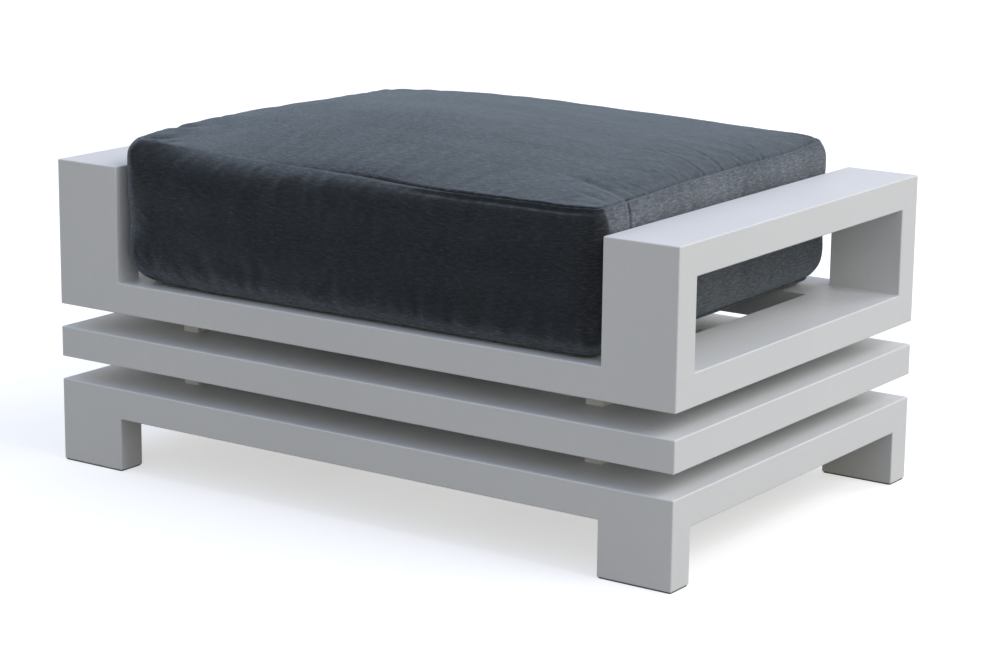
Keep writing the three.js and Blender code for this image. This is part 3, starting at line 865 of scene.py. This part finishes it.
def finish_cushion(thing, swell):
    """Finer cloth on the form, with folds, seams, lumps and the zip's opening. Only the fine part of the swell
    is kept, because the form already has the photographed height."""
    mesh = thing.data
    points = coordinates(mesh)
    if swell is not None:
        points += SIM_SHARE * (swell - smoothed(mesh, swell, BROAD_ROUNDS))
        set_coordinates(mesh, points)
    finer = thing.modifiers.new("finer", "SUBSURF")
    finer.levels = finer.render_levels = 1
    mesh = baked(thing)
    points, out = coordinates(mesh), normals(mesh)
    to_top, to_low, kind = (
        read(mesh, name).astype(float) for name in ("to_top_seam", "to_low_seam", "kind")
    )
    on_top, on_low = fade(kind, *PANEL_EDGE), fade(-kind, *PANEL_EDGE)
    on_border = 1 - on_top - on_low
    random = np.random.default_rng(SEED)
    low_x, high_x = -(HALF_X - TOP_SEAM_INSET), HALF_X - TOP_SEAM_INSET
    low_y, high_y = CENTRE_Y - HALF_Y + TOP_SEAM_INSET, CENTRE_Y + HALF_Y - TOP_SEAM_INSET
    edges = [
        ((low_x, low_y), (high_x, low_y), (0, 1)), ((high_x, low_y), (high_x, high_y), (-1, 0)),
        ((high_x, high_y), (low_x, high_y), (0, -1)), ((low_x, high_y), (low_x, low_y), (1, 0)),
    ]
    folds = [
        ((ax * MM, ay * MM + FRONT_PLANE), (bx * MM, by * MM + FRONT_PLANE), d * MM, w * MM, bow * MM)
        for (ax, ay), (bx, by), d, w, bow in TOP_FOLDS
    ]
    folds += panel_folds(random, edges, TOP_GATHER_REACH, GATHER_DEPTH, GATHER_WIDTH)
    shift = creased(points[:, :2], folds) * on_top
    x, y = points[:, 0], points[:, 1] - CENTRE_Y
    place = girth_of(x / HALF_X, y / HALF_Y)
    side_ends = np.cumsum([0, 2 * HALF_X, 2 * HALF_Y, 2 * HALF_X, 2 * HALF_Y])
    high, low = BOTTOM_Z + BORDER_HEIGHT, BOTTOM_Z + GATHER_ROW_LIFT
    spans = []
    for a, b in zip(side_ends, side_ends[1:]):
        spans += [((a, high), (b, high), (0, -1)), ((a, low), (b, low), (0, 1))]
    gathers = panel_folds(random, spans, BORDER_GATHER_REACH, GATHER_DEPTH, GATHER_WIDTH)
    shift += creased(np.stack([place, points[:, 2]], 1), gathers) * on_border
    # Seams: a sharp groove between two soft lips, gathered by its stitches
    stitch = fuzz(points, STITCH_SCALE, 1)
    for distance, groove in ((to_top, seam_depth_at(place)), (to_low, LOW_SEAM_DEPTH)):
        shift -= groove * hump(distance, 0, GROOVE_WIDTH)
        shift += SEAM_SWELL * groove * hump(distance, SEAM_SWELL_PLACE, SEAM_SWELL_WIDTH) * (1 + 0.5 * stitch)
        shift += 0.25 * groove * stitch * hump(distance, 0, STITCH_REACH)
    for height, below, width in (LIP, LIP_HOLLOW):
        shift += height * overhang_at(place) * hump(to_top, below, width) * on_border
    for seam_place in BORDER_JOINS:
        off = abs((place - seam_place + GIRTH / 2) % GIRTH - GIRTH / 2)
        shift -= JOIN_DEPTH * hump(off, 0, JOIN_WIDTH) * on_border * (1 + 0.6 * stitch)
        shift += JOIN_SWELL * hump(off, JOIN_SWELL_PLACE, SEAM_SWELL_WIDTH) * on_border
    for height, scale, seed in LUMPS:
        shift += height * fuzz(points, scale, seed) * (1 - on_low)
    # The zip lies in a shallow opening between two turned edges
    off_zip = abs(points[:, 2] - ZIP_Z)
    behind = on_border * (y > 0) * fade(tape_high.x + OPENING_MARGIN - abs(x), 0, OPENING_END)
    opening = behind * (1 - fade(off_zip, *OPENING_EDGE))
    shift = shift * (1 - opening) - OPENING_DEPTH * opening
    shift += TURNED_HEIGHT * hump(off_zip, TURNED_EDGE, TURNED_WIDTH) * behind
    points += out * shift[:, None]
    points[:, 2] = np.maximum(points[:, 2], BOTTOM_Z)
    set_coordinates(mesh, points)
    weave_coordinates(mesh, points)


# The border is laid out beside the panels, and turns into a short side's strip, which has painted light, over
# these distances
BORDER_LAYOUT_X = 2.0
PAINTED_LIGHT_STRIP_EDGE = (8 * MM, 24 * MM)


def weave_coordinates(mesh, points):
    """Flat coordinates for the weave on each panel's corners, in metres, and 1 on a short side's strip, which
    marks where the cloth gets painted light.
    """
    index = np.empty(len(mesh.loops), np.int32)
    mesh.loops.foreach_get("vertex_index", index)
    panel = read(mesh, "panel")
    sizes = np.empty(len(mesh.polygons), np.int32)
    mesh.polygons.foreach_get("loop_total", sizes)
    face = np.repeat(np.arange(len(sizes)), sizes)
    place = girth_of(points[:, 0] / HALF_X, (points[:, 1] - CENTRE_Y) / HALF_Y)[index]
    start = np.concatenate([[0], np.cumsum(sizes)[:-1]])
    near_wrap = np.maximum.reduceat(place, start) - np.minimum.reduceat(place, start) > GIRTH / 2
    place = np.where(near_wrap[face] & (place < GIRTH / 2), place + GIRTH, place)
    flat = points[index].copy()
    flat[:, 2] = 0
    on_border = panel[face] == 1
    flat[on_border, 0] = place[on_border] + BORDER_LAYOUT_X
    flat[on_border, 1] = -read(mesh, "to_top_seam")[index][on_border]
    from_side = HALF_X - abs(points[index][on_border, 0])
    # Painted light: 1 on the short sides' strips, where the cloth's colour is made lighter
    flat[on_border, 2] = 1 - fade(from_side, *PAINTED_LIGHT_STRIP_EDGE)
    weave = mesh.attributes.new("weave", "FLOAT_VECTOR", "CORNER")
    weave.data.foreach_set("vector", flat.astype(np.float32).ravel())


cushion = cushion_mesh()
finish_cushion(cushion, simulate(cushion))
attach(cushion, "cushion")
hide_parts("cushion_cover", "cushion_foam_core")


# Zip in the back of the border

STOP_PROUD, CHAIN_PROUD = 1.8 * MM, 1.2 * MM
TAPE_FACE = tape_high.y - STOP_PROUD
TAPE_THICKNESS, TAPE_ROUNDING = 1.3 * MM, 0.3 * MM
# A bar's sections: place along it and width, as shares of its length and of its full width
BAR_SECTIONS = ((-0.5, 0.45), (-0.4, 1.0), (0.4, 1.0), (0.5, 0.45))
BAR_SIDES = 8
BACKWARDS = Vector((0, 1, 0))


def bars(name, places, run, length, radii, material):
    """Small rounded bars in one mesh, which lie along run. Radii are their half width and half depth."""
    run = Vector(run)
    side = BACKWARDS.cross(run)
    points, faces = [], []
    for place in places:
        first = len(points)
        for share, width in BAR_SECTIONS:
            for k in range(BAR_SIDES):
                turn = 2 * math.pi * k / BAR_SIDES
                rim = side * (radii[0] * math.cos(turn)) + BACKWARDS * (radii[1] * math.sin(turn))
                points.append(Vector(place) + run * (length * share) + rim * width)
        for ring in range(len(BAR_SECTIONS) - 1):
            for k in range(BAR_SIDES):
                a, b = first + ring * BAR_SIDES + k, first + ring * BAR_SIDES + (k + 1) % BAR_SIDES
                faces.append((a, b, b + BAR_SIDES, a + BAR_SIDES))
        faces.append(tuple(range(first + BAR_SIDES - 1, first - 1, -1)))
        faces.append(tuple(range(len(points) - BAR_SIDES, len(points))))
    made = mesh_object(name, points, faces, material)
    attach(made, "cushion")


tape_corners = [
    (x, y, z) for x in (tape_low.x, tape_high.x) for y in (TAPE_FACE - TAPE_THICKNESS, TAPE_FACE)
    for z in (tape_low.z, tape_high.z)
]
tape_faces = [(0, 1, 3, 2), (4, 6, 7, 5), (0, 4, 5, 1), (2, 3, 7, 6), (0, 2, 6, 4), (1, 5, 7, 3)]
tape = mesh_object("zip_tape_woven", tape_corners, tape_faces, tape_cloth)
round_edges(tape, TAPE_ROUNDING, 3)
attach(tape, "cushion")
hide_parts("zip_tape")

STOP_LENGTH, STOP_MARGIN, STOP_HEIGHT, STOP_GAP = 4 * MM, 3 * MM, 6 * MM, 0.6 * MM
TOOTH_PITCH, TOOTH_HEIGHT, TOOTH_SWAY, TOOTH_HALF_WIDTH = 1.45 * MM, 4.3 * MM, 0.35 * MM, 0.56 * MM
chain_end = tape_high.x - STOP_MARGIN - STOP_LENGTH - STOP_GAP
teeth = [
    (place, TAPE_FACE, ZIP_Z + (TOOTH_SWAY if number % 2 else -TOOTH_SWAY))
    for number, place in enumerate(np.arange(-chain_end, chain_end, TOOTH_PITCH))
]
tooth_size = (TOOTH_HALF_WIDTH, CHAIN_PROUD)
bars("zip_teeth", teeth, (0, 0, 1), TOOTH_HEIGHT, tooth_size, tooth_nylon)
stop_x = tape_high.x - STOP_MARGIN - STOP_LENGTH / 2
bars(
    "zip_stops", [(way * stop_x, TAPE_FACE, ZIP_Z) for way in (-1, 1)], (0, 0, 1), STOP_HEIGHT,
    (STOP_LENGTH / 2, STOP_PROUD), zip_metal,
)

# Two rows of stitches hold the turned edges to the tape
STITCH_PITCH, STITCH_LENGTH, STITCH_ROW, THREAD_RADIUS = 4.2 * MM, 3.0 * MM, 7.6 * MM, 0.3 * MM
behind_cover = BVHTree.FromObject(cushion, bpy.context.evaluated_depsgraph_get())
stitches = []
for row in (-STITCH_ROW, STITCH_ROW):
    for place in np.arange(-tape_high.x, tape_high.x, STITCH_PITCH):
        found = behind_cover.ray_cast(Vector((place, FAR_OFF, ZIP_Z + row)), -BACKWARDS)[0]
        stitches.append((place, found.y, ZIP_Z + row))
thread_size = (THREAD_RADIUS, THREAD_RADIUS)
bars("zip_stitches", stitches, (1, 0, 0), STITCH_LENGTH, thread_size, tooth_nylon)


def soften(name, material, width):
    """A CAD piece with its flat faces joined up and its edges rounded."""
    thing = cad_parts[name]
    thing.data.materials.clear()
    thing.data.materials.append(material)
    joined = thing.modifiers.new("joined_faces", "DECIMATE")
    joined.decimate_type = "DISSOLVE"
    joined.angle_limit = math.radians(1)
    round_edges(thing, width, 3)


SLIDER_ROUNDING, PULL_ROUNDING, SMALL_PIECE_ROUNDING = 0.35 * MM, 0.3 * MM, 0.8 * MM
soften("zip_slider", zip_metal, SLIDER_ROUNDING)
soften("zip_pull", zip_metal, PULL_ROUNDING)
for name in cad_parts:
    if "glide" in name:
        soften(name, plastic, SMALL_PIECE_ROUNDING)
    elif "spacer" in name:
        soften(name, coat, SMALL_PIECE_ROUNDING)


# Floor, light and camera

# What the floor sends up to the object, and how the eye sees it: its own tone and a glow that whitens it
FLOOR_BOUNCE, FLOOR_TONE, FLOOR_GLOW = 0.24, 0.75, 0.55


def seen_rays(tree):
    """1 for the rays that show the backdrop itself, and 0 for those that only light the object."""
    path = tree.nodes.new("ShaderNodeLightPath")
    seen = maths(tree, "MAXIMUM", path.outputs["Is Camera Ray"], path.outputs["Is Glossy Ray"])
    return maths(tree, "MAXIMUM", seen, path.outputs["Is Transmission Ray"])


def pale_floor():
    made = bpy.data.materials.new("pale_floor")
    made.use_nodes = True
    tree = made.node_tree
    tree.nodes.clear()
    plain = node(tree, "ShaderNodeBsdfDiffuse", {"Color": grey(FLOOR_BOUNCE)})
    pale = node(tree, "ShaderNodeBsdfDiffuse", {"Color": grey(FLOOR_TONE)})
    glow = node(tree, "ShaderNodeEmission", {"Color": grey(1.0), "Strength": FLOOR_GLOW})
    shown = node(tree, "ShaderNodeAddShader", {0: pale.outputs[0], 1: glow.outputs[0]})
    both = node(tree, "ShaderNodeMixShader", {0: seen_rays(tree), 1: plain.outputs[0], 2: shown.outputs[0]})
    out = tree.nodes.new("ShaderNodeOutputMaterial")
    tree.links.new(both.outputs[0], out.inputs["Surface"])
    return made


FLOOR_SIZE = 12.0
floor = mesh_object(
    "floor",
    [(x * FLOOR_SIZE, y * FLOOR_SIZE, 0) for x, y in ((-1, -1), (1, -1), (1, 1), (-1, 1))],
    [(0, 1, 2, 3)], pale_floor(), smooth=False,
)

LOW_SKY, HIGH_SKY = rgb(0.77, 0.71, 0.51), rgb(0.38, 0.49, 0.78)

world = bpy.data.worlds.new("studio")
bpy.context.scene.world = world
world.use_nodes = True
tree = world.node_tree
tree.nodes.clear()
direction = tree.nodes.new("ShaderNodeTexCoord").outputs["Generated"]
height = node(tree, "ShaderNodeSeparateXYZ", {"Vector": direction})
sky = mixed(tree, remap(tree, height.outputs["Z"], 0.0, 1.0), LOW_SKY, HIGH_SKY)
soft = node(tree, "ShaderNodeBackground", {"Color": sky, "Strength": 1.0})
white = node(tree, "ShaderNodeBackground", {"Color": grey(1.0), "Strength": 1.0})
both = node(tree, "ShaderNodeMixShader", {0: seen_rays(tree), 1: soft.outputs[0], 2: white.outputs[0]})
out = tree.nodes.new("ShaderNodeOutputWorld")
tree.links.new(both.outputs[0], out.inputs["Surface"])

AIM = Vector((0.0, 0.0, 0.25))


def soft_light(name, place, size, power, colour):
    data = bpy.data.lights.new(name, "AREA")
    data.shape = "SQUARE"
    data.size = size
    data.energy = power
    data.color = colour
    thing = bpy.data.objects.new(name, data)
    thing.location = place
    thing.rotation_euler = (AIM - Vector(place)).to_track_quat("-Z", "Y").to_euler()
    bpy.context.scene.collection.objects.link(thing)


soft_light("key", place=(6.0, 0.5, 5.5), size=4.0, power=220, colour=(1.0, 0.975, 0.92))
soft_light("rim", place=(3.6, 7.6, 4.6), size=3.5, power=200, colour=(1.0, 0.975, 0.90))

VIEW_AZIMUTH, VIEW_ELEVATION, VIEW_ROLL = (math.radians(a) for a in (34.5457, 13.0018, 0.6721))
CAMERA_PLACE = Vector((1.96349, -2.81486, 0.98756))
CAMERA_LENS = 98.196
SENSOR = 36.0
NEAREST_SEEN, FARTHEST_SEEN = 0.05, 60.0

camera = bpy.data.objects.new("camera", bpy.data.cameras.new("camera"))
bpy.context.scene.collection.objects.link(camera)
forward = Vector((
    -math.sin(VIEW_AZIMUTH) * math.cos(VIEW_ELEVATION),
    math.cos(VIEW_AZIMUTH) * math.cos(VIEW_ELEVATION),
    -math.sin(VIEW_ELEVATION),
))
level = forward.cross(Vector((0, 0, 1))).normalized()
upright = level.cross(forward)
across = level * math.cos(VIEW_ROLL) + upright * math.sin(VIEW_ROLL)
up = upright * math.cos(VIEW_ROLL) - level * math.sin(VIEW_ROLL)
camera.matrix_world = Matrix.Translation(CAMERA_PLACE) @ Matrix((across, up, -forward)).transposed().to_4x4()
camera.data.sensor_width = SENSOR
camera.data.lens = CAMERA_LENS
camera.data.clip_start, camera.data.clip_end = NEAREST_SEEN, FARTHEST_SEEN
bpy.context.scene.camera = camera
bpy.context.scene.view_settings.view_transform = "Standard"
